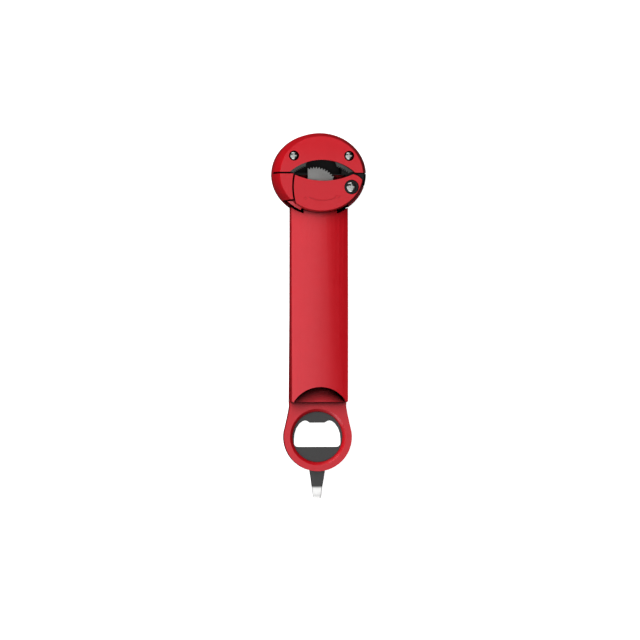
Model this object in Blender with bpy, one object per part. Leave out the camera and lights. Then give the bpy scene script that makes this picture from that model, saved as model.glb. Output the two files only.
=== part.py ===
"""Hand-held kitchen opener: lid gripper head, arched handle, crown-cap ring and lifter tip.

It lies on its back: +X right, +Y towards the gripper head, +Z towards the viewer.
The origin is the middle of its footprint on the table. Lengths below are in millimetres
and become metres where a mesh is made.
"""
import math

import bpy
import bmesh
from mathutils import Matrix, Vector

MM = 0.001

# ---- driving dimensions -------------------------------------------------
LENGTH = 250.0                 # tip of the lifter to the top of the head
DEPTH = 25.0                   # rear face to the front of the head
HEAD_A, HEAD_B = 31.8, 28.3    # half axes of the oval head
RING_R = 23.5                  # outside of the crown-cap ring
RING_DEPTH = 8.5
GAP = 0.3                      # assembly gap between touching pieces

# ---- places worked out from them ----------------------------------------
HEAD_Y = LENGTH / 2 - HEAD_B
TIP_Y = -LENGTH / 2
RING_Y = -82.8
REAR_ROUND = 3.0               # rounding of the rear edges
SEAM_Z = 13.0                  # the upper cover meets the rear body here
BEVEL_Z = 17.0                 # the drafted rim of the head starts here
BEVEL_RUN = 3.0                # and leans in by this much
JAW_Z = 21.0                   # underside of the swing jaw and of the cover's lip
PLATE_T = 1.8                  # toothed steel plates
PLATE_Z = JAW_Z - GAP - PLATE_T
LEDGE_Z = PLATE_Z - GAP        # the ledge under the toothed jaw plate
LEDGE_Y = 96.0                 # its straight front edge
LEDGE_RIGHT = 17.2             # and where it stops short of the pivot
FLOOR_Z = 6.0                  # floor of the black liner
WALL = 2.4                     # plastic wall
HANDLE_SEAM_Z = RING_DEPTH      # the rear body's handle rim
CROWN_Z = JAW_Z - 0.5          # ridge of the arched handle cover
HANDLE_TAIL_Y = -58.8
HANDLE_HALF_MID, HANDLE_HALF_TAIL = 19.2, 19.7
COVER_SECTIONS = ((HANDLE_TAIL_Y, 19.3, 18.0),    # y, half width and side height of the handle cover
                  (0.0, 19.5, 17.1),
                  (78.0, 19.5, 16.0))
SCOOP_LOW, SCOOP_LOW_Y, SCOOP_RISE = 9.9, -45.0, 0.13   # floor of the scoop: depth under the arch, and slope
FALL_Y, FALL_R, FALL_TURN = 103.0, 133.0, 9.6   # the cover's front curves back above FALL_Y
CREVICE_INSET = 4.1            # the groove between jaw and handle reaches this far under the jaw
SHOULDER_TURN = 53.2           # oval angle below the horizontal where the handle leaves the head
NECK_HALF = 19.5
RING_JOIN = 9.0                # angle above the ring's middle where the neck meets it
PLATE_LOW = 3.2                # underside of the crown-cap plate
PIVOT = (20.7, 88.0)
PIVOT_BOSS_R = 4.1
BUSH_R, BUSH_BORE_R, BUSH_COLLAR_R = 3.1, 2.3, 4.4
SCREW_SHANK_R = 1.9
SPRING_R, SPRING_WIRE_R, SPRING_TURNS = 5.3, 0.5, 4
SPRING_LEG_TURN = 215.0        # where the spring's upper leg enters the jaw
COVER_SCREWS = ((-19.0, 109.2), (19.0, 109.2))
JAW_RIVETS = ((4.5, 86.0), (11.0, 80.5))
MARK_RISE = 0.15               # the jaw's face lies this much below the front, for a raised mark
SWING = 40.0                   # how far the jaw opens, in degrees
STOP_R, STOP_PIN_R, STOP_TURN = 8.0, 0.75, 200.0
HANDLE_SCREWS_Y = (58.0, 8.0, -34.0)
LIP_R = 34.3                   # arc of the upper lip
LIP_CENTRE = (0.4, 72.2)
LIP_LEFT, LIP_RIGHT = (-22.0, 98.2), (23.0, 97.6)
JAW_LIP_R = 49.0
JAW_LEFT_R = 39.8              # the jaw's free end turns past the cheek on this radius
JAW_END_R = 8.7                # rounded end about the pivot


# ---- small helpers ------------------------------------------------------
def clear_scene():
    """Remove what the scene holds."""
    for item in list(bpy.data.objects):
        bpy.data.objects.remove(item, do_unlink=True)


def material(name, colour, roughness, metallic):
    """Principled material; the colour is given as sRGB 0-255."""
    linear = [pow(c / 255.0, 2.2) for c in colour]
    made = bpy.data.materials.new(name)
    made.use_nodes = True
    shader = made.node_tree.nodes["Principled BSDF"]
    shader.inputs["Base Color"].default_value = (*linear, 1.0)
    shader.inputs["Roughness"].default_value = roughness
    shader.inputs["Metallic"].default_value = metallic
    return made


def solid(name, work):
    """Turn a bmesh into an object, still in millimetres."""
    bmesh.ops.recalc_face_normals(work, faces=work.faces)
    mesh = bpy.data.meshes.new(name)
    work.to_mesh(mesh)
    work.free()
    item = bpy.data.objects.new(name, mesh)
    bpy.context.collection.objects.link(item)
    return item


def finish(item, surface, x=0.0, y=0.0):
    """Scale a finished piece to metres, put its origin at (x, y) and give it its material."""
    mesh = item.data
    mesh.transform(Matrix.Scale(MM, 4) @ Matrix.Translation((-x, -y, 0.0)))
    item.location = Vector((x, y, 0.0)) * MM
    mesh.materials.clear()
    mesh.materials.append(surface)
    mesh.shade_smooth()
    mesh.set_sharp_from_angle(angle=math.radians(32))


def bridge(work, rows):
    """Quads between neighbouring rows of vertices."""
    count = len(rows[0])
    for low, high in zip(rows, rows[1:]):
        for i in range(count):
            j = (i + 1) % count
            work.faces.new((low[i], low[j], high[j], high[i]))


def loft(rings):
    """Closed solid through rings of equal point counts, with flat ends."""
    work = bmesh.new()
    rows = [[work.verts.new(p) for p in ring] for ring in rings]
    bridge(work, rows)
    work.faces.new(list(reversed(rows[0])))
    work.faces.new(rows[-1])
    return work


def level(outline, z):
    """Lift a flat outline to height z."""
    return [(x, y, z) for x, y in outline]


def prism(outline, z0, z1):
    """Straight solid on a flat outline."""
    return loft([level(outline, z0), level(outline, z1)])


def circle(x, y, radius, sides=32):
    """Points of a circle."""
    step = 2 * math.pi / sides
    return [(x + radius * math.cos(i * step), y + radius * math.sin(i * step)) for i in range(sides)]


def turned(x, y, profile, sides=32):
    """Solid turned about a vertical axis; profile is (radius, z) from bottom to top."""
    return loft([level(circle(x, y, r, sides), z) for r, z in profile])


def arc(centre, radius, start, end, count):
    """Points from angle start to angle end, in degrees, both included."""
    points = []
    for i in range(count + 1):
        turn = math.radians(start + (end - start) * i / count)
        points.append((centre[0] + radius * math.cos(turn), centre[1] + radius * math.sin(turn)))
    return points


def box(x0, x1, y0, y1, z0, z1):
    """Rectangular solid."""
    return prism([(x0, y0), (x1, y0), (x1, y1), (x0, y1)], z0, z1)


def shape(target, other, operation):
    """Apply one exact Boolean with a bmesh to an object."""
    tool = solid("tool", other)
    step = target.modifiers.new("step", "BOOLEAN")
    step.operation = operation
    step.solver = "EXACT"
    step.object = tool
    graph = bpy.context.evaluated_depsgraph_get()
    result = bpy.data.meshes.new_from_object(target.evaluated_get(graph))
    target.modifiers.remove(step)
    target.data = result
    bpy.data.objects.remove(tool, do_unlink=True)


def add(target, *others):
    """Union."""
    for other in others:
        shape(target, other, "UNION")


def cut(target, *others):
    """Difference."""
    for other in others:
        shape(target, other, "DIFFERENCE")


def keep(target, other):
    """Intersection."""
    shape(target, other, "INTERSECT")


def take(item):
    """Mesh of a helper solid, which is then removed."""
    work = bmesh.new()
    work.from_mesh(item.data)
    bpy.data.objects.remove(item, do_unlink=True)
    return work


def oval(inset, sides=84):
    """The head's oval, drawn in by inset."""
    a, b = HEAD_A - inset, HEAD_B - inset
    step = 2 * math.pi / sides
    return [(a * math.cos(i * step), HEAD_Y + b * math.sin(i * step)) for i in range(sides)]


def oval_turn(inset, centre, radius, low, high):
    """Oval angle, in degrees, at which the oval crosses a circle."""
    a, b = HEAD_A - inset, HEAD_B - inset

    def miss(turn):
        t = math.radians(turn)
        return math.hypot(a * math.cos(t) - centre[0], HEAD_Y + b * math.sin(t) - centre[1]) - radius

    rising = miss(high) > miss(low)
    for _ in range(40):
        mid = (low + high) / 2
        if (miss(mid) > 0) == rising:
            high = mid
        else:
            low = mid
    return (low + high) / 2


def oval_arc(inset, start, end, count):
    """Points of the head's oval between two oval angles."""
    a, b = HEAD_A - inset, HEAD_B - inset
    points = []
    for i in range(count + 1):
        t = math.radians(start + (end - start) * i / count)
        points.append((a * math.cos(t), HEAD_Y + b * math.sin(t)))
    return points


def about_pivot(radius, turn):
    """Point at a radius and direction from the jaw's pivot."""
    t = math.radians(turn)
    return PIVOT[0] + radius * math.cos(t), PIVOT[1] + radius * math.sin(t)


def turn_of(centre, point):
    """Direction of a point from a centre, in degrees."""
    return math.degrees(math.atan2(point[1] - centre[1], point[0] - centre[0]))


def head_blank(top=DEPTH):
    """The whole oval head up to a height: rounded rear edge, straight wall, drafted rim."""
    rings = rear_rounding() + [(0.0, min(BEVEL_Z, top))]
    if top > BEVEL_Z:
        edge = 0.5
        lean = BEVEL_RUN / (DEPTH - BEVEL_Z)
        rings.append((lean * (min(top, DEPTH - edge) - BEVEL_Z), min(top, DEPTH - edge)))
        if top >= DEPTH:
            rings.append((BEVEL_RUN + 0.3, DEPTH))
    return loft([level(oval(inset), z) for inset, z in rings])


# ---- outlines -----------------------------------------------------------
def upper_region(clearance):
    """Everything above the upper lip, drawn back by clearance."""
    start = turn_of(LIP_CENTRE, LIP_LEFT)
    end = turn_of(LIP_CENTRE, LIP_RIGHT)
    lip = arc(LIP_CENTRE, LIP_R + clearance, start, end, 24)
    left = (-50.0, LIP_LEFT[1] + clearance)
    right = (50.0, LIP_RIGHT[1] + clearance)
    return [left] + lip + [right, (50.0, 140.0), (-50.0, 140.0)]


def jaw_lip(count=20):
    """The jaw's hollow lip, from its free end to the pivot end."""
    left = (PIVOT[0] + JAW_LEFT_R * math.cos(math.radians(168.2)),
            PIVOT[1] + JAW_LEFT_R * math.sin(math.radians(168.2)))
    right = (PIVOT[0] + JAW_END_R * math.cos(math.radians(84.0)),
             PIVOT[1] + JAW_END_R * math.sin(math.radians(84.0)))
    chord = math.hypot(right[0] - left[0], right[1] - left[1])
    mid = ((left[0] + right[0]) / 2, (left[1] + right[1]) / 2)
    rise = math.sqrt(JAW_LIP_R ** 2 - (chord / 2) ** 2)
    away = (-(right[1] - left[1]) / chord, (right[0] - left[0]) / chord)
    centre = (mid[0] + away[0] * rise, mid[1] + away[1] * rise)
    return arc(centre, JAW_LIP_R, turn_of(centre, left), turn_of(centre, right), count)


def jaw_outline(inset):
    """The jaw's outline, with its outer edge drawn in by inset from the head's oval."""
    right_turn = oval_turn(inset, PIVOT, JAW_END_R, -25.0, 5.0)
    left_turn = oval_turn(inset, PIVOT, JAW_LEFT_R, -150.0, -110.0)
    a, b = HEAD_A - inset, HEAD_B - inset
    t = math.radians(right_turn)
    meet = (a * math.cos(t), HEAD_Y + b * math.sin(t))
    points = jaw_lip()
    points += arc(PIVOT, JAW_END_R, 84.0, turn_of(PIVOT, meet), 10)[1:]
    points += oval_arc(inset, right_turn, left_turn, 40)[1:]
    low = turn_of(PIVOT, points[-1]) + 360.0
    points += arc(PIVOT, JAW_LEFT_R, low, 168.2, 10)[1:-1]
    return points


def toothed(points, depth):
    """Saw teeth along a run of points; every other point stands depth to the right of the run."""
    out = []
    for a, b in zip(points, points[1:]):
        out.append(a)
        dx, dy = b[0] - a[0], b[1] - a[1]
        size = math.hypot(dx, dy)
        out.append(((a[0] + b[0]) / 2 + dy / size * depth, (a[1] + b[1]) / 2 - dx / size * depth))
    out.append(points[-1])
    return out


# ---- red plastic --------------------------------------------------------
def handle_section(y, half, z_low, z_high, low_round, crown):
    """One section of the handle, anticlockwise seen from the tail."""
    ring = []
    for i in range(5):
        t = math.radians(180 + 90 * i / 4)
        across, rise = low_round * math.cos(t), low_round * (1 + math.sin(t))
        ring.append((-half + low_round + across, y, z_low + rise))
    for i in range(5):
        t = math.radians(270 + 90 * i / 4)
        across, rise = low_round * math.cos(t), low_round * (1 + math.sin(t))
        ring.append((half - low_round + across, y, z_low + rise))
    for i in range(13):
        x = half * (1 - i / 6)
        ring.append((x, y, z_high + crown * (1 - (x / half) ** 2)))
    return ring


def body_outline(inset):
    """Outline of head, handle, neck and ring together, anticlockwise from the right shoulder."""
    count = 60
    head = oval_arc(inset, -SHOULDER_TURN, 180.0 + SHOULDER_TURN, count)
    side = [(HANDLE_HALF_MID - inset, 0.0), (HANDLE_HALF_TAIL - inset, HANDLE_TAIL_Y)]
    side += neck_side(inset)
    ring = arc((0.0, RING_Y), RING_R - inset, 180.0 - RING_JOIN, 360.0 + RING_JOIN, 44)
    left = [(-x, y) for x, y in side]
    return head + left + ring + list(reversed(side))


def neck_side(inset):
    """Right edge of the neck, which flares out to the ring."""
    half_ring = RING_R * math.cos(math.radians(RING_JOIN))
    ring_top = RING_Y + RING_R * math.sin(math.radians(RING_JOIN))
    start = HANDLE_TAIL_Y - 2.6
    points = []
    steps = 7
    for i in range(steps):
        s = i / steps
        half = NECK_HALF + (half_ring - NECK_HALF) * s ** 1.2 - inset
        points.append((half, start + (ring_top - start) * s))
    return points


def rear_rounding():
    """(inset, z) of the rounded rear edge, from the rear face up."""
    steps = 3
    turns = [math.radians(90 * i / steps) for i in range(steps + 1)]
    return [(REAR_ROUND * (1 - math.sin(t)), REAR_ROUND * (1 - math.cos(t))) for t in turns]


def body_blank():
    """Base of head, handle and ring at one height, with the oval head carried on to the front."""
    work = bmesh.new()
    count = len(oval_arc(0.0, -SHOULDER_TURN, 180.0 + SHOULDER_TURN, 60))
    rows = []
    for inset, z in rear_rounding() + [(0.0, RING_DEPTH)]:
        rows.append([work.verts.new(p) for p in level(body_outline(inset), z)])
    bridge(work, rows)
    work.faces.new(list(reversed(rows[0])))
    inner = oval_arc(0.0, 180.0 + SHOULDER_TURN, 360.0 - SHOULDER_TURN, 22)[1:-1]
    chord = [work.verts.new(p) for p in level(inner, RING_DEPTH)]
    work.faces.new(rows[-1][count - 1:] + [rows[-1][0]] + list(reversed(chord)))
    wall = [rows[-1][:count] + chord]
    for inset, z in ((0.0, BEVEL_Z), (BEVEL_RUN * 0.94, DEPTH - 0.5), (BEVEL_RUN + 0.3, DEPTH)):
        around = oval_arc(inset, -SHOULDER_TURN, 180.0 + SHOULDER_TURN, 60)
        around += oval_arc(inset, 180.0 + SHOULDER_TURN, 360.0 - SHOULDER_TURN, 22)[1:-1]
        wall.append([work.verts.new(p) for p in level(around, z)])
    bridge(work, wall)
    work.faces.new(wall[-1])
    return work


def rear_body(red):
    """Rear shell: oval cup, handle trough, neck and crown-cap ring in one moulding."""
    body = solid("rear_body", body_blank())
    side = LEDGE_RIGHT - 0.8
    cut(body, prism([(-50, 97.0), (side, 97.0), (side, 88.6), (50, 88.6), (50, 140), (-50, 140)], SEAM_Z, 60))
    cheek = arc(PIVOT, JAW_LEFT_R + 1.2, 166.6, 193.0, 12)
    cut(body, prism(cheek + [(-22.4, 78.9), (-50, 80.6), (-50, 55), (50, 55), (50, 97.6)], LEDGE_Z, 70))
    crevice = oval_arc(CREVICE_INSET, 180.0 + 44.1, 360.0 - 45.3, 24)
    cut(body, prism(crevice + [(19.5, 60.0), (-26.0, 60.0), (-26.0, 78.3)], RING_DEPTH, 60.0))
    hollow_head(body)
    hollow_handle(body)
    open_ring(body)
    finish(body, red)


def hollow_head(body):
    """Cup in the head for the liner, with screw posts, pivot post and spring slot."""
    holder = solid("cup", prism(oval(WALL), FLOOR_Z - WALL, 40.0))
    side = LEDGE_RIGHT
    upper = [(-50, LEDGE_Y), (side, LEDGE_Y), (side, 89.4), (50, 89.4), (50, 140), (-50, 140)]
    keep(holder, prism(upper, 0, 60))
    cut(holder, prism(arc(PIVOT, JAW_LEFT_R + 0.1, 166.0, 215.0, 12) + [(-50, 60), (-50, 97.65)], 0, 60))
    cut(body, take(holder))
    for x, y in COVER_SCREWS:
        add(body, turned(x, y, ((3.6, FLOOR_Z - WALL - 1), (3.6, SEAM_Z - GAP)), 24))
        cut(body, turned(x, y, ((1.15, 4.6), (1.15, 40.0)), 16))
    x, y = PIVOT
    cut(body, turned(x, y, ((SPRING_R + 1.1, LEDGE_Z - 8.0), (SPRING_R + 1.1, 40.0))))
    add(body, turned(x, y, ((PIVOT_BOSS_R, 5.0), (PIVOT_BOSS_R, LEDGE_Z - 4.0)), 28))
    cut(body, turned(x, y, ((BUSH_BORE_R, -5.0), (BUSH_BORE_R, 40.0)), 24))
    cut(body, turned(x, y, ((4.45, -1.0), (4.45, 3.4)), 6))
    leg = about_pivot(SPRING_R, SPRING_LEG_TURN)
    cut(body, turned(*leg, ((SPRING_WIRE_R + 0.35, 7.5), (SPRING_WIRE_R + 0.35, 12.0)), 12))
    stop_bore = STOP_PIN_R + GAP
    cut(body, turned(*about_pivot(STOP_R, STOP_TURN), ((stop_bore, 10.0), (stop_bore, 30.0)), 16))


def hollow_handle(body):
    """Trough under the handle cover, with a stem for each handle screw."""
    outline = [(-17.2, -44.0), (17.2, -44.0), (16.6, 64.0), (-16.6, 64.0)]
    cut(body, prism(outline, WALL, 30.0))
    for y in HANDLE_SCREWS_Y:
        add(body, turned(0.0, y, ((4.4, 1.0), (4.4, 6.4))))
        cut(body, turned(0.0, y, ((1.7, -2.0), (1.7, 20.0)), 20))
        cut(body, turned(0.0, y, ((3.4, -2.0), (3.4, 3.2)), 24))


def open_ring(body):
    """Hole through the ring with a rounded front edge, and the slot that holds the steel plate."""
    cut(body, turned(0.0, RING_Y, ((18.6, -1.0), (18.6, 0.0), (17.2, 1.4), (17.2, RING_DEPTH - 2.6),
                                   (17.9, RING_DEPTH - 1.2), (19.4, RING_DEPTH), (19.4, RING_DEPTH + 4)), 64))
    cut(body, turned(0.0, RING_Y, ((20.4 + GAP, PLATE_LOW - GAP), (20.4 + GAP, PLATE_LOW + 2.0 + GAP)), 64))
    cut(body, box(-5.9 - GAP, 5.9 + GAP, RING_Y - 40, RING_Y - 15, PLATE_LOW - GAP, PLATE_LOW + 2.0 + GAP))


def handle_cover(red):
    """Arched front shell of the handle, with a deep thumb scoop at its tail end."""
    low = HANDLE_SEAM_Z + GAP
    outer = [handle_section(y, half, low, side, 0.5, CROWN_Z - side) for y, half, side in COVER_SECTIONS]
    cover = solid("handle_cover", loft(outer))
    inner = [handle_section(y, half - WALL, low - 8.0, side - WALL, 0.5, CROWN_Z - side)
             for y, half, side in ((-40.0, 19.3, 17.7), (66.5, 19.5, 16.2))]
    cut(cover, loft(inner))
    for y in HANDLE_SCREWS_Y:
        add(cover, turned(0.0, y, ((2.6, 7.0), (2.6, CROWN_Z - 1.0))))
        cut(cover, turned(0.0, y, ((1.15, 0.0), (1.15, 16.0)), 20))
    scoop(cover)
    for side in (-1, 1):
        low, high = HANDLE_TAIL_Y - 1.0, HANDLE_TAIL_Y + 3.2
        corner = [(18.0 * side, low), (21.0 * side, low), (21.0 * side, high)]
        cut(cover, prism(corner[::side], 0.0, 60.0))
    end = arc((0.0, 71.0 + 54.0), 54.0, 245.0, 295.0, 17)
    cut(cover, prism(end + [(50, 150), (-50, 150)], 0, 60))
    cut(cover, prism(oval(-GAP, 90), -5.0, LEDGE_Z + GAP + 0.05))
    finish(cover, red)


def sloped(outline, lift):
    """Outline laid on the scoop's floor, which rises towards the tail."""
    return [(x, y, SCOOP_LOW + lift - SCOOP_RISE * (y - SCOOP_LOW_Y)) for x, y in outline]


def scoop(cover):
    """Hollow that opens to the front and to the tail, and runs back under the ridge."""
    reach = 21.3
    apex = -48.4
    start = math.degrees(math.asin((HANDLE_TAIL_Y - (apex - reach)) / reach))
    mouth = arc((0.0, apex - reach), reach, start, 180.0 - start, 27)
    mouth = [(x, y) for x, y in mouth] + [(-17.9, -70.0), (17.9, -70.0)]
    cut(cover, loft([sloped(mouth, 0.0), level(mouth, 60.0)]))
    under = arc((0.0, apex - reach + 5.0), reach - 1.6, start, 180.0 - start, 25)
    under += [(-16.6, -70.0), (16.6, -70.0)]
    cut(cover, loft([sloped(under, 0.02), level(under, 16.8)]))


def brow_fall():
    """Block whose front face is flat over the mouth and curves back towards the top of the head."""
    profile = [(80.0, DEPTH + 0.2), (FALL_Y, DEPTH)]
    steps = 10
    for i in range(1, steps + 1):
        turn = math.radians(FALL_TURN * i / steps)
        profile.append((FALL_Y + FALL_R * math.sin(turn), DEPTH - FALL_R * (1 - math.cos(turn))))
    profile += [(130.0, 0.0), (80.0, 0.0)]
    return loft([[(x, y, z) for y, z in profile] for x in (40.0, -40.0)])


def upper_cover(red):
    """Front shell over the upper half of the head, with the upper lip."""
    cover = solid("upper_cover", head_blank())
    keep(cover, prism(upper_region(0.0), SEAM_Z + GAP, 60.0))
    keep(cover, brow_fall())
    inside = ((WALL, -5.0), (WALL, LEDGE_Z + GAP), (WALL + 1.2, JAW_Z))
    cut(cover, loft([level(oval(inset), z) for inset, z in inside]))
    for x, y in COVER_SCREWS:
        cut(cover, turned(x, y, ((1.75, 0.0), (1.75, 60.0)), 20))
        cut(cover, turned(x, y, ((3.45, DEPTH - 2.0), (3.45, 60.0)), 32))
    finish(cover, red)


def swing_jaw(red):
    """Front jaw plate that turns about the pivot screw; its lower left lip takes a fingertip."""
    top = DEPTH - MARK_RISE
    rings = ((2.3, JAW_Z), (2.3, JAW_Z + 0.6), (3.1, top - 0.5), (3.5, top))
    jaw = solid("swing_jaw", loft([level(jaw_outline(inset), z) for inset, z in rings]))
    inner = [(-14.0, 76.5), (-14.0, 79.0), (-17.8, 78.7), (-19.5, 78.3)]
    foot = oval_arc(0.9, -137.8, -117.0, 10) + inner
    brow = oval_arc(2.6, -134.4, -117.0, 10) + inner
    add(jaw, loft([level(foot, JAW_Z), level(brow, JAW_Z + 1.8)]))
    x, y = PIVOT
    cut(jaw, turned(x, y, ((BUSH_R + GAP, 0.0), (BUSH_R + GAP, 60.0)), 32))
    cut(jaw, turned(x, y, ((5.0, DEPTH - 2.4), (5.0, 60.0)), 40))
    for sx, sy in JAW_RIVETS:
        cut(jaw, turned(sx, sy, ((0.95, 0.0), (0.95, DEPTH - 1.2)), 16))
    leg = about_pivot(SPRING_R, SPRING_LEG_TURN)
    cut(jaw, turned(*leg, ((SPRING_WIRE_R + 0.35, 0.0), (SPRING_WIRE_R + 0.35, JAW_Z + 1.2)), 16))
    finish(jaw, red, *PIVOT)


# ---- black liner and steel plates ---------------------------------------
def mouth_liner(black):
    """Black tray behind the mouth, with a raised block at the right rim."""
    low = FLOOR_Z - WALL + GAP
    liner = solid("mouth_liner", prism(oval(WALL + GAP), low, LEDGE_Z))
    side = LEDGE_RIGHT + GAP
    keep(liner, prism([(-50, LEDGE_Y + GAP), (side, LEDGE_Y + GAP), (side, 89.4 + GAP), (50, 89.4 + GAP),
                       (50, 140), (-50, 140)], 0, 60))
    cut(liner, prism(arc(PIVOT, JAW_LEFT_R + 0.1 - GAP, 165.5, 215.0, 12) + [(-50, 60), (-50, 98.0)], 0, 60))
    block = solid("block", head_blank(JAW_Z + 3.0))
    edge = arc(PIVOT, JAW_END_R + 0.6, 6.0, 66.0, 12)
    keep(block, prism(edge + [(26.5, LIP_RIGHT[1] - 0.5), (50, LIP_RIGHT[1] - 0.5), (50, 89.0)],
                      SEAM_Z + GAP, 60))
    add(liner, take(block))
    tray = [(-22.5, 97.9), (-23.5, 103.5), (-15.0, 104.0)]
    tray += arc((0.0, 93.5), 18.0, 136.0, 44.0, 16)
    tray += [(15.0, 104.0), (14.6, 96.9)]
    cut(liner, prism(tray, FLOOR_Z, 60.0))
    for x, y in COVER_SCREWS:
        cut(liner, turned(x, y, ((3.9, 0.0), (3.9, SEAM_Z)), 28))
        cut(liner, turned(x, y, ((1.75, 0.0), (1.75, 60.0)), 20))
    cut(liner, turned(PIVOT[0], PIVOT[1], ((SPRING_R + 1.4, 0.0), (SPRING_R + 1.4, LEDGE_Z + 0.1))))
    finish(liner, black)


def upper_grip_plate(steel):
    """Steel plate under the upper cover; its two toothed runs show at the sides of the mouth."""
    outer = oval_arc(WALL + 2.4, 12.0, 168.0, 40)
    left = toothed(arc(LIP_CENTRE, LIP_R - 1.6, 127.5, 109.0, 7), 1.3)
    right = toothed(arc(LIP_CENTRE, LIP_R - 1.6, 71.0, 52.5, 7), 1.3)
    bridge = arc(LIP_CENTRE, LIP_R + 1.0, 106.0, 75.0, 10)
    outline = outer + [(-25.5, 99.2)] + left + bridge + right + [(25.5, 99.2)]
    plate = solid("upper_grip_plate", prism(outline, PLATE_Z, PLATE_Z + PLATE_T))
    for x, y in COVER_SCREWS:
        cut(plate, turned(x, y, ((1.75, 0.0), (1.75, 60.0)), 20))
    finish(plate, steel)


def jaw_grip_plate(steel):
    """Toothed steel plate under the jaw, carried on the pivot bush."""
    centre, radius = (-3.6, 85.9), 15.9
    pitch = 7.2
    teeth = 10
    first = 108.8
    tips = arc(centre, radius, first, first - pitch * teeth, teeth)
    outline = [(-8.8, 92.0)] + toothed(tips, 1.55)
    outline += [(8.2, 93.4), (9.5, 92.2), (PIVOT[0] - 1.0, PIVOT[1] + 5.6)]
    outline += arc(PIVOT, 5.7, 80.0, -95.0, 16)
    outline += [(12.0, 78.2), (9.2, 78.6), (1.5, 84.0)]
    plate = solid("jaw_grip_plate", prism(outline, PLATE_Z, PLATE_Z + PLATE_T))
    cut(plate, turned(PIVOT[0], PIVOT[1], ((BUSH_R + GAP, 0.0), (BUSH_R + GAP, 60.0)), 32))
    for sx, sy in JAW_RIVETS:
        cut(plate, turned(sx, sy, ((1.35, 0.0), (1.35, 60.0)), 20))
    slot = arc(PIVOT, STOP_R + STOP_PIN_R + GAP, STOP_TURN + 2.0, STOP_TURN - SWING - 2.0, 10)
    slot += arc(PIVOT, STOP_R - STOP_PIN_R - GAP, STOP_TURN - SWING - 2.0, STOP_TURN + 2.0, 10)
    cut(plate, prism(slot, 0.0, 60.0))
    slot_end = STOP_PIN_R + GAP - 0.02
    for turn in (STOP_TURN + 2.0, STOP_TURN - SWING - 2.0):
        cut(plate, turned(*about_pivot(STOP_R, turn), ((slot_end, 0.0), (slot_end, 60.0)), 18))
    leg = about_pivot(SPRING_R, SPRING_LEG_TURN)
    cut(plate, turned(*leg, ((SPRING_WIRE_R + 0.35, 0.0), (SPRING_WIRE_R + 0.35, 60.0)), 16))
    finish(plate, steel, *PIVOT)


def opener_plate(black):
    """Black steel insert of the ring: cap opening, narrow tongue and curved lifter tip."""
    low, high = PLATE_LOW, PLATE_LOW + 2.0
    plate = solid("opener_plate", prism(circle(0.0, RING_Y, 20.4, 64), low, high))
    add(plate, tongue(low))
    top = RING_Y + 9.7
    opening = [(-5.1, top), (-7.0, top + 1.2), (-8.4, top + 1.5), (-10.2, top + 1.1), (-12.4, top - 0.6)]
    opening += [(-14.6, top - 3.8), (-15.8, top - 7.4), (-16.2, top - 11.0)]
    opening += arc((-13.5, RING_Y - 4.2), 2.7, 180.0, 270.0, 5)
    opening += [(-x, y) for x, y in reversed(opening)]
    cut(plate, prism(opening, -5.0, 20.0))
    finish(plate, black)


def tongue(low):
    """Tapered strip that leaves the ring, dips after its bend and curls up at the round tip."""
    bend_y, dip_y = -110.8, -117.5
    half_root, half_bend, half_dip, half_tip = 5.35, 4.6, 3.6, 2.9
    rows = [(RING_Y - 15.5, half_root + 0.1, low, 2.0), (-105.8, half_root, low, 2.0),
            (bend_y, half_bend, low, 2.0), (dip_y, half_dip, low - 1.1, 1.8)]
    curl = 8
    for i in range(1, curl + 1):
        s = i / curl
        y = dip_y + (TIP_Y - dip_y) * math.sin(s * math.pi / 2)
        half = half_tip * math.sqrt(max(1.0 - max(s - 0.55, 0.0) ** 2 / 0.21, 0.03))
        half = half if s > 0.55 else half_dip + (half_tip - half_dip) * s / 0.55
        rows.append((y, half, low - 1.1 + 2.6 * s * s, 1.8 - 0.9 * s))
    rings = []
    for y, half, z, thick in rows:
        side = min(0.5, half * 0.3)
        rings.append([(-half, y, z), (half, y, z), (half, y, z + thick - side), (half - side, y, z + thick),
                      (-half + side, y, z + thick), (-half, y, z + thick - side)])
    return loft(rings)


# ---- pivot, spring and fasteners ----------------------------------------
def screw(name, steel, x, y, head_profile, shank_r, tip_z, recess_z, upward=True, cross=1.9):
    """Screw with a cross recess; its head is at the front, or at the rear if upward is false."""
    made = solid(name, turned(x, y, head_profile, 28))
    neck_z = head_profile[0][1] if upward else head_profile[-1][1]
    low, high = (tip_z, neck_z + 0.2) if upward else (neck_z - 0.2, tip_z)
    add(made, turned(x, y, ((shank_r, low), (shank_r, high)), 16))
    z0, z1 = (recess_z, recess_z + 5.0) if upward else (recess_z - 5.0, recess_z)
    slot = 0.42
    cut(made, box(x - cross, x + cross, y - slot, y + slot, z0, z1))
    cut(made, box(x - slot, x + slot, y - cross, y + cross, z0 - 0.05, z1 + 0.05))
    finish(made, steel, x, y)


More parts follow.
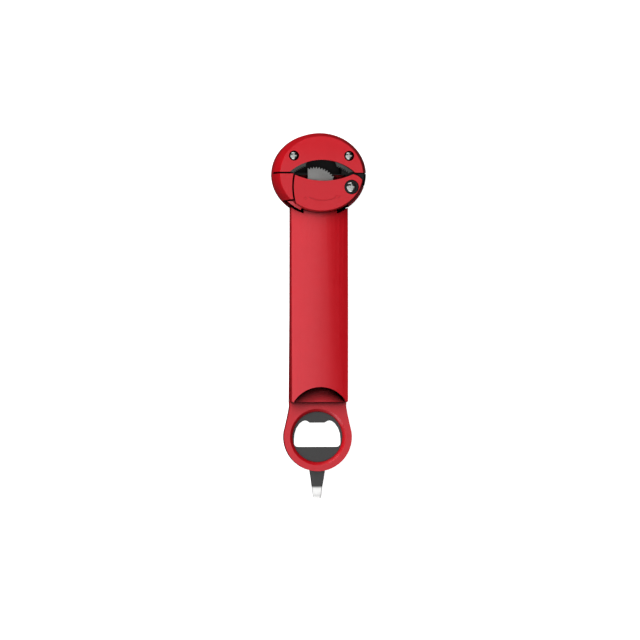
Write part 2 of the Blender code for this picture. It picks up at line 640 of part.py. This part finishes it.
def pivot_stack(steel, black, brass):
    """Screw, dark washer, bush and nut on the jaw's axis."""
    x, y = PIVOT
    washer_z = DEPTH - 2.4 + GAP
    head_z = washer_z + 0.8 + GAP
    head = ((3.3, head_z), (3.3, head_z + 0.35), (2.8, head_z + 0.65), (2.0, head_z + 0.8),
            (0.9, head_z + 0.88))
    screw("pivot_screw", steel, x, y, head, SCREW_SHANK_R, 1.0, DEPTH - 1.2)
    ring = solid("pivot_washer", turned(x, y, ((4.7, washer_z), (4.7, washer_z + 0.8)), 36))
    cut(ring, turned(x, y, ((BUSH_BORE_R, 0.0), (BUSH_BORE_R, 60.0)), 20))
    finish(ring, black, x, y)
    low = LEDGE_Z - 4.0 + GAP
    collar = LEDGE_Z - 1.0
    steps = ((BUSH_COLLAR_R, low), (BUSH_COLLAR_R, collar), (BUSH_R, collar), (BUSH_R, washer_z - GAP))
    bush = solid("pivot_bush", turned(x, y, steps, 28))
    cut(bush, turned(x, y, ((BUSH_BORE_R, 0.0), (BUSH_BORE_R, 60.0)), 20))
    finish(bush, brass, x, y)
    rim = ((BUSH_COLLAR_R, collar + GAP), (BUSH_COLLAR_R, LEDGE_Z))
    slip = solid("pivot_thrust_washer", turned(x, y, rim, 28))
    cut(slip, turned(x, y, ((BUSH_R + GAP, 0.0), (BUSH_R + GAP, 60.0)), 24))
    finish(slip, black, x, y)
    nut = solid("pivot_nut", turned(x, y, ((4.1, 0.8), (4.1, 3.1)), 6))
    cut(nut, turned(x, y, ((BUSH_BORE_R, -2.0), (BUSH_BORE_R, 20.0)), 20))
    finish(nut, steel, x, y)


def jaw_spring(steel):
    """Torsion spring round the pivot: lower leg in the body, upper leg in the jaw."""
    x, y = PIVOT
    low = LEDGE_Z - 7.0
    pitch = 1.35
    path = [(*about_pivot(SPRING_R, SPRING_LEG_TURN), 8.0)]
    per_turn = 18
    start = SPRING_LEG_TURN - 360.0 * SPRING_TURNS
    for i in range(per_turn * SPRING_TURNS + 1):
        t = math.radians(start + 360.0 * i / per_turn)
        path.append((x + SPRING_R * math.cos(t), y + SPRING_R * math.sin(t), low + pitch * i / per_turn))
    path.append((*about_pivot(SPRING_R, SPRING_LEG_TURN), JAW_Z + 0.8))
    curve = bpy.data.curves.new("jaw_return_spring", "CURVE")
    curve.dimensions = "3D"
    curve.bevel_depth = SPRING_WIRE_R * MM
    curve.bevel_resolution = 2
    curve.use_fill_caps = True
    line = curve.splines.new("POLY")
    line.points.add(len(path) - 1)
    for point, place in zip(line.points, path):
        point.co = ((place[0] - x) * MM, (place[1] - y) * MM, place[2] * MM, 1.0)
    curve.materials.append(steel)
    item = bpy.data.objects.new("jaw_return_spring", curve)
    item.location = (x * MM, y * MM, 0.0)
    bpy.context.collection.objects.link(item)


def fasteners(steel):
    """Cover, jaw-plate and handle screws."""
    top = DEPTH - 0.3
    for side, (x, y) in zip(("left", "right"), COVER_SCREWS):
        head = ((2.9, DEPTH - 1.7), (2.9, top - 0.9), (2.4, top - 0.4), (1.6, top - 0.1), (0.7, top))
        screw("cover_screw_" + side, steel, x, y, head, 0.85, 6.0, top - 1.1)
    for side, (x, y) in zip(("left", "right"), JAW_RIVETS):
        shank = ((0.65, PLATE_Z + 0.1), (0.65, DEPTH - 1.6))
        rivet = solid("jaw_plate_rivet_" + side, turned(x, y, shank, 16))
        finish(rivet, steel, x, y)
    spot = about_pivot(STOP_R, STOP_TURN)
    lead = STOP_PIN_R - 0.2
    shank = ((lead, 10.4), (STOP_PIN_R, 10.7), (STOP_PIN_R, 20.3), (lead, 20.6))
    pin = solid("jaw_stop_pin", turned(*spot, shank, 16))
    finish(pin, steel, *spot)
    for name, y in zip(("head", "middle", "tail"), HANDLE_SCREWS_Y):
        head = ((2.4, 0.9), (3.0, 1.5), (3.0, 2.9))
        screw("handle_screw_" + name, steel, 0.0, y, head, 0.85, 14.0, 1.9, False)


def main():
    """Build every piece."""
    clear_scene()
    red = material("red_plastic", (203, 20, 30), 0.42, 0.0)
    black = material("black_plastic", (14, 14, 15), 0.5, 0.0)
    coated = material("black_coated_steel", (58, 58, 58), 0.4, 0.6)
    steel = material("stainless_steel", (150, 150, 148), 0.35, 1.0)
    bright = material("zinc_screw", (190, 190, 188), 0.25, 1.0)
    brass = material("brass", (190, 160, 90), 0.35, 1.0)
    rear_body(red)
    handle_cover(red)
    upper_cover(red)
    swing_jaw(red)
    mouth_liner(black)
    upper_grip_plate(steel)
    jaw_grip_plate(steel)
    opener_plate(coated)
    pivot_stack(bright, black, brass)
    jaw_spring(steel)
    fasteners(bright)


main()
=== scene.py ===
"""Looks of the hand-held opener: finishes, edge rounding, studio floor, light and camera."""
import math

import bmesh
import bpy
from mathutils import Matrix, Vector


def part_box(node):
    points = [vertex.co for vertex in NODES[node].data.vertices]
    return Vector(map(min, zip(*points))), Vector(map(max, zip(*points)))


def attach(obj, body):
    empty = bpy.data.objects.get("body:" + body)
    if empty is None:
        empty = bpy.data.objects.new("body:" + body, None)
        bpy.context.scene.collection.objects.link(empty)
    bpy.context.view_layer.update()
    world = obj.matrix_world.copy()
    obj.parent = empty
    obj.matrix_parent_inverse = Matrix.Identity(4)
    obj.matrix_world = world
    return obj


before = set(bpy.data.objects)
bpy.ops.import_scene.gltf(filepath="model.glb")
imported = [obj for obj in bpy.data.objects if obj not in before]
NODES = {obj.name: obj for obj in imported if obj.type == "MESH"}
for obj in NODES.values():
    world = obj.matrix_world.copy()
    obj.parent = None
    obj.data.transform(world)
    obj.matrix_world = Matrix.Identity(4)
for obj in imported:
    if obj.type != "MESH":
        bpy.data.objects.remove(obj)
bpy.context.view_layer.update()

MM = 0.001

# ---- camera -------------------------------------------------------------
YAW = math.radians(8.5)        # the camera stands a little to the left of straight on
DISTANCE = 3.0
FIELD = 0.4378                 # what the square picture spans at the target, in metres
SENSOR = 0.036
AIM = Vector((0.0008, -0.0027, 0.0120))

# ---- stage, in metres ---------------------------------------------------
FLOOR_HALF = 4.0               # half side of the square floor
FLOOR_Z = -0.0003              # just under the object's rear face

# ---- finishes -----------------------------------------------------------
NOISE_LOW, NOISE_HIGH = 0.3, 0.7     # most of a noise value lies between these
BARE_HIGHLIT_FROM, BARE_HIGHLIT_TO = 8.6, 6.6        # mm from the lifter's tip: coating whole, coating gone to bare metal painted near white as a highlight
COATED_METALLIC, BARE_METALLIC = 0.35, 0.3
COATED_ROUGHNESS, BARE_ROUGHNESS = 0.42, 0.3

# ---- turning mark on the jaw, in mm -------------------------------------
MARK_LOW, MARK_HIGH = 24.7, 24.99    # its foot is sunk in the jaw, its top stays under the front
MARK_CENTRE, MARK_R = (0.6, 99.4), 20.6
MARK_HALF = 0.33                     # half width of the arc
MARK_FROM, MARK_TO = 243.5, 296.5    # ends of the arc, in degrees
MARK_STEPS = 26
MARK_TAPER_STEPS = 6.0               # the arc grows to its full width over these
MARK_HEAD = ((9.1, 82.1), (11.0, 79.3), (13.6, 82.4))
MARK_TAIL = ((-12.4, 80.3), (-10.4, 79.3), (-10.9, 81.4))


# ---- shader helpers -----------------------------------------------------
def principled(name, colour, roughness, metallic=0.0, specular=0.5):
    """New Principled material; returns it with its tree and shader node."""
    made = bpy.data.materials.new(name)
    made.use_nodes = True
    tree = made.node_tree
    shader = tree.nodes["Principled BSDF"]
    shader.inputs["Base Color"].default_value = (*colour, 1.0)
    shader.inputs["Roughness"].default_value = roughness
    shader.inputs["Metallic"].default_value = metallic
    shader.inputs["Specular IOR Level"].default_value = specular
    return made, tree, shader


def noise(tree, size_mm, detail=3.0, roughness=0.55, stretch=(1.0, 1.0, 1.0)):
    """Noise fixed to the object, with features of about size_mm."""
    place = tree.nodes.new("ShaderNodeTexCoord")
    scale = tree.nodes.new("ShaderNodeMapping")
    scale.inputs["Scale"].default_value = stretch
    made = tree.nodes.new("ShaderNodeTexNoise")
    made.inputs["Scale"].default_value = 1.0 / (size_mm * MM)
    made.inputs["Detail"].default_value = detail
    made.inputs["Roughness"].default_value = roughness
    tree.links.new(place.outputs["Object"], scale.inputs["Vector"])
    tree.links.new(scale.outputs["Vector"], made.inputs["Vector"])
    return made


def spread(tree, source, low, high):
    """Map the usual run of a noise value to low..high."""
    made = tree.nodes.new("ShaderNodeMapRange")
    made.inputs["From Min"].default_value = NOISE_LOW
    made.inputs["From Max"].default_value = NOISE_HIGH
    made.inputs["To Min"].default_value = low
    made.inputs["To Max"].default_value = high
    tree.links.new(source, made.inputs["Value"])
    return made.outputs["Result"]


def blend_colour(tree, factor, first, second):
    """Mix two colours by a value."""
    made = tree.nodes.new("ShaderNodeMix")
    made.data_type = "RGBA"
    made.inputs["A"].default_value = (*first, 1.0)
    made.inputs["B"].default_value = (*second, 1.0)
    tree.links.new(factor, made.inputs["Factor"])
    return made.outputs["Result"]


def paint_shade_in_hollows(tree, shader, colour, reach_mm, open_from, open_to, gloss=0.5):
    """Painted shade: darken the colour and dim the reflection where the surface lies in a hollow or a seam.
    """
    near = tree.nodes.new("ShaderNodeAmbientOcclusion")
    near.samples = 6
    near.inputs["Distance"].default_value = reach_mm * MM
    shown = tree.nodes.new("ShaderNodeMapRange")
    shown.interpolation_type = "SMOOTHSTEP"
    shown.inputs["From Min"].default_value = open_from
    shown.inputs["From Max"].default_value = open_to
    tree.links.new(near.outputs["AO"], shown.inputs["Value"])
    # painted shade: the base colour is multiplied down in hollows and seams
    painted_shade = tree.nodes.new("ShaderNodeMix")
    painted_shade.data_type = "RGBA"
    painted_shade.blend_type = "MULTIPLY"
    painted_shade.inputs["Factor"].default_value = 1.0
    tree.links.new(colour, painted_shade.inputs["A"])
    tree.links.new(shown.outputs["Result"], painted_shade.inputs["B"])
    tree.links.new(painted_shade.outputs["Result"], shader.inputs["Base Color"])
    # painted shade on the reflection: the specular level is dimmed in the same hollows
    sheen = tree.nodes.new("ShaderNodeMath")
    sheen.operation = "MULTIPLY"
    sheen.inputs[1].default_value = gloss
    tree.links.new(shown.outputs["Result"], sheen.inputs[0])
    tree.links.new(sheen.outputs["Value"], shader.inputs["Specular IOR Level"])


def follow(tree, value, at_zero, at_one, socket):
    """Lead a 0-1 value into a shader socket as at_zero..at_one."""
    made = tree.nodes.new("ShaderNodeMapRange")
    made.inputs["To Min"].default_value = at_zero
    made.inputs["To Max"].default_value = at_one
    tree.links.new(value, made.inputs["Value"])
    tree.links.new(made.outputs["Result"], socket)


def bump(tree, shader, height, depth_mm, strength=1.0):
    """Bump a shader by a height value."""
    made = tree.nodes.new("ShaderNodeBump")
    made.inputs["Distance"].default_value = depth_mm * MM
    made.inputs["Strength"].default_value = strength
    tree.links.new(height, made.inputs["Height"])
    tree.links.new(made.outputs["Normal"], shader.inputs["Normal"])


def red_plastic():
    """Satin moulded red: faint colour drift, fine spark-eroded grain, rubbed patches, and painted shade in
    hollows and seams.
    """
    made, tree, shader = principled("red_plastic", (0.66, 0.0025, 0.005), 0.4)
    drift = noise(tree, 14.0, 2.0)
    base = blend_colour(tree, drift.outputs["Fac"], (0.61, 0.0016, 0.0075), (0.67, 0.0022, 0.0095))
    # painted shade: colour and reflection darkened in hollows, seams and the finger scoop
    paint_shade_in_hollows(tree, shader, base, 14.0, 0.52, 0.95, 0.58)
    shader.inputs["Specular Tint"].default_value = (0.95, 0.88, 1.0, 1.0)
    rub = noise(tree, 5.0, 4.0)
    tree.links.new(spread(tree, rub.outputs["Fac"], 0.36, 0.43), shader.inputs["Roughness"])
    grain = noise(tree, 0.28, 2.0)
    bump(tree, shader, grain.outputs["Fac"], 0.012, 0.5)
    return made


def black_plastic(name="black_plastic", colour=(0.0045, 0.0045, 0.005), roughness=0.55):
    """Matt black moulding."""
    made, tree, shader = principled(name, colour, roughness, 0.0, 0.3)
    rub = noise(tree, 1.5, 3.0)
    tree.links.new(spread(tree, rub.outputs["Fac"], roughness - 0.05, roughness + 0.07),
                   shader.inputs["Roughness"])
    grain = noise(tree, 0.3, 2.0)
    bump(tree, shader, grain.outputs["Fac"], 0.015, 0.5)
    return made


def toothed_steel(name="toothed_steel", dark=(0.24, 0.24, 0.236), pale=(0.38, 0.38, 0.372)):
    """Tumbled stainless sheet: soft mottling and fine random scratches."""
    made, tree, shader = principled(name, tuple(sum(pair) / 2 for pair in zip(dark, pale)), 0.45, 1.0)
    mottle = noise(tree, 0.9, 5.0, 0.65)
    tree.links.new(blend_colour(tree, mottle.outputs["Fac"], dark, pale),
                   shader.inputs["Base Color"])
    rub = noise(tree, 0.5, 3.0, 0.6, (6.0, 1.0, 1.0))
    tree.links.new(spread(tree, rub.outputs["Fac"], 0.38, 0.55), shader.inputs["Roughness"])
    bump(tree, shader, mottle.outputs["Fac"], 0.02, 0.6)
    return made


def coated_steel():
    """Satin black coated steel; towards the lifter tip the coating gives way to bare metal, whose near-white
    colour is partly a painted highlight.
    """
    made, tree, shader = principled("black_coated_steel", (0.045, 0.045, 0.045), COATED_ROUGHNESS,
                                    COATED_METALLIC)
    place = tree.nodes.new("ShaderNodeTexCoord")
    axes = tree.nodes.new("ShaderNodeSeparateXYZ")
    tree.links.new(place.outputs["Object"], axes.inputs["Vector"])
    bare_and_highlit = tree.nodes.new("ShaderNodeMapRange")
    bare_and_highlit.interpolation_type = "SMOOTHSTEP"
    low, _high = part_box("opener_plate")
    bare_and_highlit.inputs["From Min"].default_value = low.y + BARE_HIGHLIT_FROM * MM
    bare_and_highlit.inputs["From Max"].default_value = low.y + BARE_HIGHLIT_TO * MM
    tree.links.new(axes.outputs["Y"], bare_and_highlit.inputs["Value"])
    grain = noise(tree, 0.6, 4.0)
    tone = tree.nodes.new("ShaderNodeMix")
    tone.data_type = "RGBA"
    tree.links.new(bare_and_highlit.outputs["Result"], tone.inputs["Factor"])
    tree.links.new(blend_colour(tree, grain.outputs["Fac"], (0.036, 0.036, 0.037), (0.056, 0.056, 0.056)),
                   tone.inputs["A"])
    # painted highlight: the bare tip gets a near-white colour, partly real bare metal and partly the light
    # it catches
    tone.inputs["B"].default_value = (0.95, 0.95, 0.94, 1.0)
    tree.links.new(tone.outputs["Result"], shader.inputs["Base Color"])
    follow(tree, bare_and_highlit.outputs["Result"], COATED_METALLIC, BARE_METALLIC, shader.inputs["Metallic"])
    follow(tree, bare_and_highlit.outputs["Result"], COATED_ROUGHNESS, BARE_ROUGHNESS, shader.inputs["Roughness"])
    bump(tree, shader, grain.outputs["Fac"], 0.01, 0.4)
    return made


def bright_metal(name, colour, roughness):
    """Plated or turned metal with fine turning marks."""
    made, tree, shader = principled(name, colour, roughness, 1.0)
    marks = noise(tree, 0.35, 3.0, 0.6)
    tree.links.new(spread(tree, marks.outputs["Fac"], roughness - 0.06, roughness + 0.08),
                   shader.inputs["Roughness"])
    bump(tree, shader, marks.outputs["Fac"], 0.006, 0.4)
    return made


def dress(node, surface, edge_mm):
    """Give a CAD node its finish, weld its facets into faces and round its edges."""
    item = NODES[node]
    item.data.materials.clear()
    item.data.materials.append(surface)
    weld = item.modifiers.new("weld", "WELD")
    weld.merge_threshold = 1e-6
    flat = item.modifiers.new("flat", "DECIMATE")
    flat.decimate_type = "DISSOLVE"
    flat.angle_limit = math.radians(0.4)
    if edge_mm:
        edges = item.modifiers.new("edges", "BEVEL")
        edges.width = edge_mm * MM
        edges.segments = 3
        edges.limit_method = "ANGLE"
        edges.angle_limit = math.radians(32)
        edges.miter_outer = "MITER_ARC"
        edges.harden_normals = False
    smooth = item.modifiers.new("shade", "WEIGHTED_NORMAL")
    smooth.keep_sharp = True
    item.data.shade_smooth()


def mark_arc(work):
    """Raised strip along the mark's arc, narrower towards its left end."""
    low, high = MARK_LOW * MM, MARK_HIGH * MM
    rings = []
    for i in range(MARK_STEPS + 1):
        turn = math.radians(MARK_FROM + (MARK_TO - MARK_FROM) * i / MARK_STEPS)
        wide = MARK_HALF * (0.55 + 0.45 * min(1.0, i / MARK_TAPER_STEPS))
        section = ((MARK_R - wide, low), (MARK_R - wide * 0.45, high),
                   (MARK_R + wide * 0.45, high), (MARK_R + wide, low))
        rings.append([work.verts.new(((MARK_CENTRE[0] + r * math.cos(turn)) * MM,
                                      (MARK_CENTRE[1] + r * math.sin(turn)) * MM, z))
                      for r, z in section])
    for first, second in zip(rings, rings[1:]):
        for k in range(4):
            work.faces.new((first[k], first[(k + 1) % 4], second[(k + 1) % 4], second[k]))
    work.faces.new(rings[0][::-1])
    work.faces.new(rings[-1])


def mark_triangle(work, points):
    """Raised triangle with sloping sides."""
    middle = Vector((sum(p[0] for p in points) / 3, sum(p[1] for p in points) / 3))
    under = [work.verts.new((x * MM, y * MM, MARK_LOW * MM)) for x, y in points]
    over = []
    for point in points:
        inner = middle + (Vector(point) - middle) * 0.72
        over.append(work.verts.new((inner.x * MM, inner.y * MM, MARK_HIGH * MM)))
    for k in range(3):
        work.faces.new((under[k], under[(k + 1) % 3], over[(k + 1) % 3], over[k]))
    work.faces.new(under[::-1])
    work.faces.new(over)


def turning_mark():
    """Raised mark on the jaw: a shallow arc, an arrowhead to its right and a small triangle to its left."""
    work = bmesh.new()
    mark_arc(work)
    mark_triangle(work, MARK_HEAD)
    mark_triangle(work, MARK_TAIL)
    bmesh.ops.recalc_face_normals(work, faces=work.faces)
    mesh = bpy.data.meshes.new("jaw_turning_mark")
    work.to_mesh(mesh)
    work.free()
    mesh.materials.append(NODES["swing_jaw"].data.materials[0])
    item = bpy.data.objects.new("jaw_turning_mark", mesh)
    bpy.context.scene.collection.objects.link(item)
    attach(item, "jaw")


def softbox(name, place, target, size, radiance, mirrored=True, soft=True):
    """Softbox aimed at a point; its mirror image (mirrored) or its soft light (soft) can be left out."""
    data = bpy.data.lights.new(name, "AREA")
    data.shape = "RECTANGLE"
    data.size, data.size_y = size
    data.energy = radiance * size[0] * size[1] * math.pi
    item = bpy.data.objects.new(name, data)
    item.location = place
    back = (Vector(place) - Vector(target)).normalized()
    across = Vector((0.0, 1.0, 0.0)).cross(back).normalized()
    item.rotation_mode = "QUATERNION"
    item.rotation_quaternion = Matrix((across, back.cross(across), back)).transposed().to_quaternion()
    item.visible_camera = False
    item.visible_glossy = mirrored
    item.visible_diffuse = soft
    bpy.context.scene.collection.objects.link(item)


def studio():
    """White floor and dim surround, a wide key overhead to the left, a fill, and a rim light at each end."""
    made, _tree, shader = principled("studio_white", (0.93, 0.93, 0.93), 0.9, 0.0, 0.1)
    shader.inputs["Emission Color"].default_value = (1.0, 1.0, 1.0, 1.0)
    shader.inputs["Emission Strength"].default_value = 0.9
    mesh = bpy.data.meshes.new("floor")
    corners = ((-1, -1), (1, -1), (1, 1), (-1, 1))
    mesh.from_pydata([(x * FLOOR_HALF, y * FLOOR_HALF, FLOOR_Z) for x, y in corners], [], [(0, 1, 2, 3)])
    mesh.materials.append(made)
    floor = bpy.data.objects.new("floor", mesh)
    floor.visible_diffuse = False
    floor.visible_glossy = False
    bpy.context.scene.collection.objects.link(floor)
    world = bpy.data.worlds.new("surround")
    world.use_nodes = True
    world.node_tree.nodes["Background"].inputs["Color"].default_value = (1.0, 1.0, 1.0, 1.0)
    world.node_tree.nodes["Background"].inputs["Strength"].default_value = 0.03
    bpy.context.scene.world = world
    softbox("key", (-0.46, -0.18, 0.90), (0.0, -0.18, 0.0), (1.95, 0.8), 1.6)
    softbox("fill", (-0.75, 1.0, 1.05), (0.0, 0.0, 0.0), (1.9, 1.4), 2.9, False)
    softbox("rim_tail", (-0.45, -1.0, 0.62), (0.0, 0.0, 0.0), (1.8, 0.45), 5.0, True, False)
    softbox("rim_head", (-0.45, 1.0, 0.50), (0.0, 0.0, 0.0), (1.8, 0.40), 3.5, True, False)


def camera():
    """Nearly straight-on camera above the object, head at the top."""
    data = bpy.data.cameras.new("camera")
    data.sensor_width = SENSOR / MM
    data.lens = SENSOR / MM * DISTANCE / FIELD
    item = bpy.data.objects.new("camera", data)
    back = Vector((-math.sin(YAW), 0.0, math.cos(YAW)))
    item.location = AIM + back * DISTANCE
    item.rotation_euler = (0.0, -YAW, 0.0)
    data.clip_start = 0.01
    data.clip_end = 20.0
    bpy.context.scene.collection.objects.link(item)
    bpy.context.scene.camera = item


def finishes():
    """Finish of every CAD node."""
    red = red_plastic()
    black = black_plastic()
    steel = toothed_steel()
    # painted shade: a darker copy of the toothed steel, standing for the shadow the upper cover casts on the
    # upper plate
    steel_in_painted_shade = toothed_steel("steel_painted_shade", (0.07, 0.072, 0.07), (0.14, 0.144, 0.14))
    bright = bright_metal("zinc_screw", (0.34, 0.35, 0.34), 0.16)
    red_edges = (("rear_body", 0.35), ("handle_cover", 0.45), ("upper_cover", 0.3), ("swing_jaw", 0.3))
    for node, edge in red_edges:
        dress(node, red, edge)
    dress("mouth_liner", black, 0.2)
    dress("pivot_thrust_washer", black, 0.0)
    dress("pivot_washer", black_plastic("black_washer", (0.006, 0.006, 0.007), 0.38), 0.1)
    # the upper plate gets the steel with painted shade
    dress("upper_grip_plate", steel_in_painted_shade, 0.0)
    for node in ("jaw_grip_plate", "jaw_stop_pin", "jaw_plate_rivet_left", "jaw_plate_rivet_right"):
        dress(node, steel, 0.0)
    dress("opener_plate", coated_steel(), 0.12)
    dress("jaw_return_spring", bright_metal("spring_steel", (0.4, 0.4, 0.4), 0.3), 0.0)
    dress("pivot_bush", bright_metal("brass", (0.6, 0.42, 0.18), 0.3), 0.0)
    dress("pivot_nut", bright, 0.1)
    for node in ("pivot_screw", "cover_screw_left", "cover_screw_right",
                 "handle_screw_head", "handle_screw_middle", "handle_screw_tail"):
        dress(node, bright, 0.08)


finishes()
turning_mark()
studio()
camera()
bpy.context.scene.view_settings.view_transform = "Standard"
